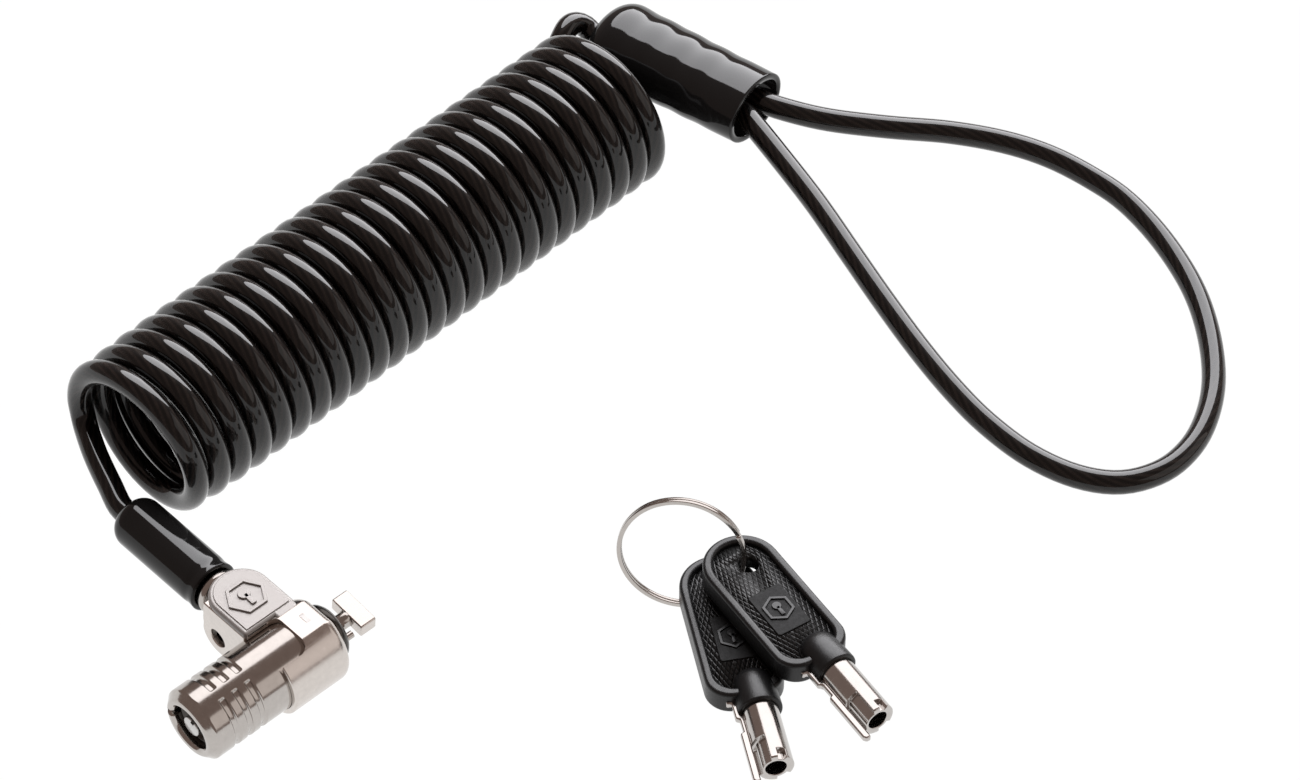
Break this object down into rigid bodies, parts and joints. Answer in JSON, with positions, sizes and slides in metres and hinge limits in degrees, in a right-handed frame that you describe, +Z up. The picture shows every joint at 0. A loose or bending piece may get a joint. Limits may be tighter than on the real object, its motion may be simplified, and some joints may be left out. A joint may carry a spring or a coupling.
{
  "type": "laptop cable lock",
  "caption": "Keyed laptop lock with a T-bar head, a hinged cable bracket, a self-coiling steel cable ending in a crimped anchor loop, and tubular keys on a split ring.",
  "frame": {"origin": "centre of the nose face that rests against the laptop, on the lock barrel's axis", "axes": "+X out of the nose into the security slot, +Y from the lock head towards the cable, +Z up from the table; the table is 7 mm below the origin"},
  "size_m": [0.185, 0.137, 0.029],
  "materials": {
    "nickel": "bright nickel plate",
    "satin_nickel": "satin nickel plate",
    "steel": "plain steel",
    "dark_steel": "dark steel",
    "brass": "plain",
    "cable_black": "clear gloss sheath over dark strands",
    "black_gloss": "gloss moulding",
    "black_satin": "satin moulding"
  },
  "bodies": {
    "cable": {"cable_eye": "steel", "eye_ferrule": "nickel", "lock_sleeve": "black_gloss", "cable_tail": "cable_black", "cable_coil": "cable_black", "cable_lead": "cable_black", "loop_sleeve": "black_gloss", "loop_crimp": "steel", "cable_loop": "cable_black"},
    "bracket": {"collar_bracket": "satin_nickel", "emblem_plate": "satin_nickel", "hinge_pin": "dark_steel"},
    "barrel": {"lock_barrel": "nickel", "retaining_ring": "steel", "nose_cap": "dark_steel", "anti_rotation_pins": "steel", "pin_housing": "brass", "pin_springs": "steel"},
    "core": {"lock_core": "dark_steel", "spindle": "steel", "drive_pin": "steel", "t_bar": "nickel"},
    "key_tumblers": {"key_pins": "brass"},
    "driver_tumblers": {"driver_pins": "steel"},
    "key_ring": {"split_ring": "nickel"},
    "key_a": {"key_a_head": "black_satin", "key_a_tube": "nickel", "key_a_blade": "nickel"},
    "key_b": {"key_b_head": "black_satin", "key_b_tube": "nickel", "key_b_blade": "nickel"}
  },
  "joints": [
    {"name": "cable_tilt", "type": "hinge", "parent": "cable", "child": "bracket", "pos_m": [-0.0088, 0.0109, -0.0008], "axis": [1, 0, 0], "range_deg": [0, 80]},
    {"name": "barrel_swivel", "type": "hinge", "parent": "bracket", "child": "barrel", "pos_m": [0, 0, 0], "axis": [1, 0, 0], "continuous": true},
    {"name": "key_turn", "type": "hinge", "parent": "barrel", "child": "core", "pos_m": [0, 0, 0], "axis": [1, 0, 0], "range_deg": [0, 90]},
    {"name": "driver_push", "type": "slide", "parent": "barrel", "child": "driver_tumblers", "axis": [1, 0, 0], "range_m": [0, 0.0015], "stiffness_N_per_m": 200, "deforming": ["pin_springs"]},
    {"name": "tumbler_push", "type": "slide", "parent": "core", "child": "key_tumblers", "axis": [1, 0, 0], "range_m": [0, 0.0015]},
    {"name": "ring_lift", "type": "slide", "parent": "cable", "child": "key_ring", "axis": [0, 0, 1], "range_m": [0, 0.05]},
    {"name": "key_a_swing", "type": "hinge", "parent": "key_ring", "child": "key_a", "pos_m": [0.0497, -0.0338, -0.0034], "axis": [0, 0, 1], "range_deg": [-12, 0]},
    {"name": "key_b_swing", "type": "hinge", "parent": "key_ring", "child": "key_b", "pos_m": [0.0527, -0.0355, 0.00085], "axis": [0, 0, 1], "range_deg": [0, 25]}
  ],
  "couplings": [
    {"joint": "tumbler_push", "follows": "driver_push", "ratio": 1}
  ]
}
